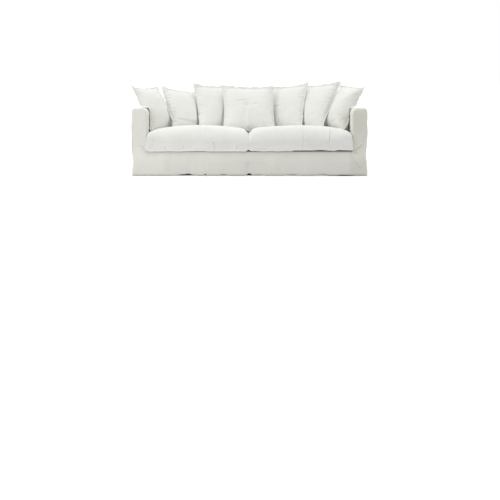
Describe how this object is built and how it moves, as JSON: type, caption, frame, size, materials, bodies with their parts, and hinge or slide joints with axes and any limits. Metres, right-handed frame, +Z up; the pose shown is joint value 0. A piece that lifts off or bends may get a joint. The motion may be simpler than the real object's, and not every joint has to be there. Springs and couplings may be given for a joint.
{
  "type": "sofa slipcover",
  "caption": "Loose-fitted linen slipcover for a low sofa with straight arms, with its seat cushions and loose pillows covered in the same plain-weave cloth.",
  "frame": {"origin": "on the floor under the middle of the whole set's bounding box", "axes": "+X to the right as seen by someone facing the sofa's front, +Y towards its back, +Z up"},
  "size_m": [2.4129, 1.0215, 0.9396],
  "materials": {
    "cover_linen": "plain-weave washed linen, off-white, uneven slubs",
    "cushion_linen": "plain-weave washed linen, off-white, soft crumples"
  },
  "bodies": {
    "root": {"front_panel": "cover_linen", "arm_cover_left": "cover_linen", "arm_cover_right": "cover_linen", "back_cover": "cover_linen", "deck": "cover_linen", "seat_cushion_left": "cushion_linen", "seat_cushion_right": "cushion_linen", "pillow_1": "cushion_linen", "pillow_2": "cushion_linen", "pillow_3": "cushion_linen", "pillow_4": "cushion_linen", "pillow_5": "cushion_linen", "pillow_6": "cushion_linen", "pillow_7": "cushion_linen"}
  },
  "joints": []
}
